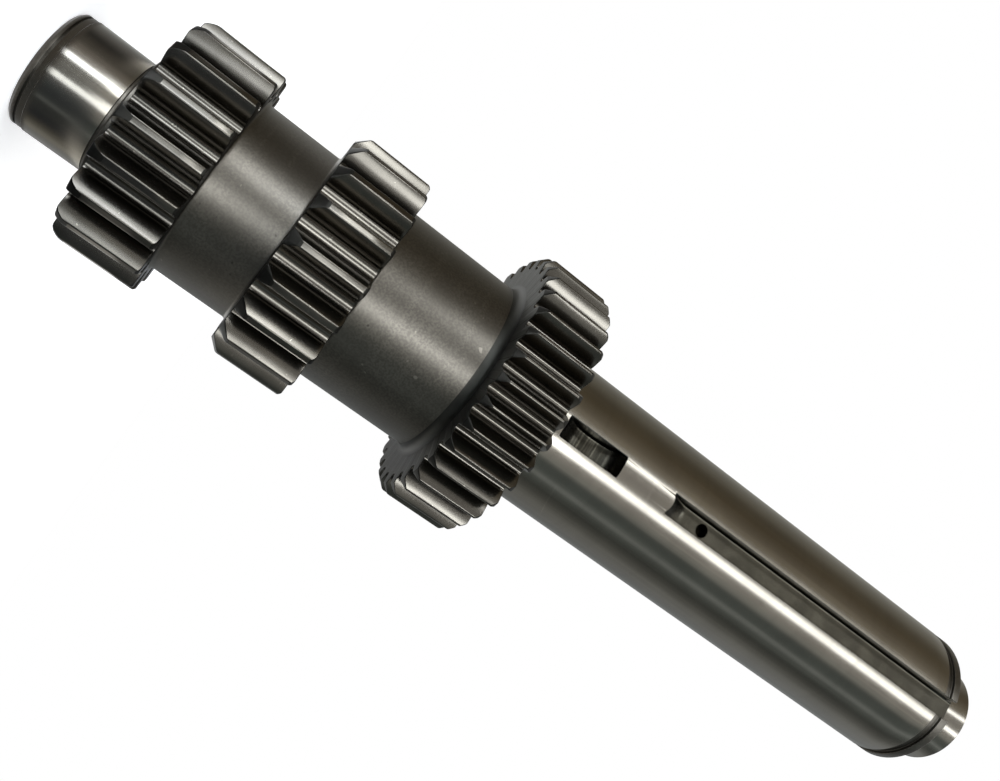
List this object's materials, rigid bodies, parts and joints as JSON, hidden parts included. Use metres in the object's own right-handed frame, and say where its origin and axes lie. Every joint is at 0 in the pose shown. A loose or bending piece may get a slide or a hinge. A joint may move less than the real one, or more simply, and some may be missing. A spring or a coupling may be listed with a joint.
{
  "type": "transmission countershaft",
  "caption": "One-piece gearbox countershaft with spur gears, plain collars, bearing journals and a long seat with key slots.",
  "frame": {"origin": "centre of the journal's end face, on which the shaft stands", "axes": "+Z along the shaft to the keyed end, -Y towards the side with the key slots"},
  "size_m": [0.123, 0.1226, 0.504],
  "materials": {
    "steel": "machined and ground steel with an oily sheen, darker on the tooth flanks"
  },
  "bodies": {
    "root": {"countershaft": "steel"}
  },
  "joints": []
}
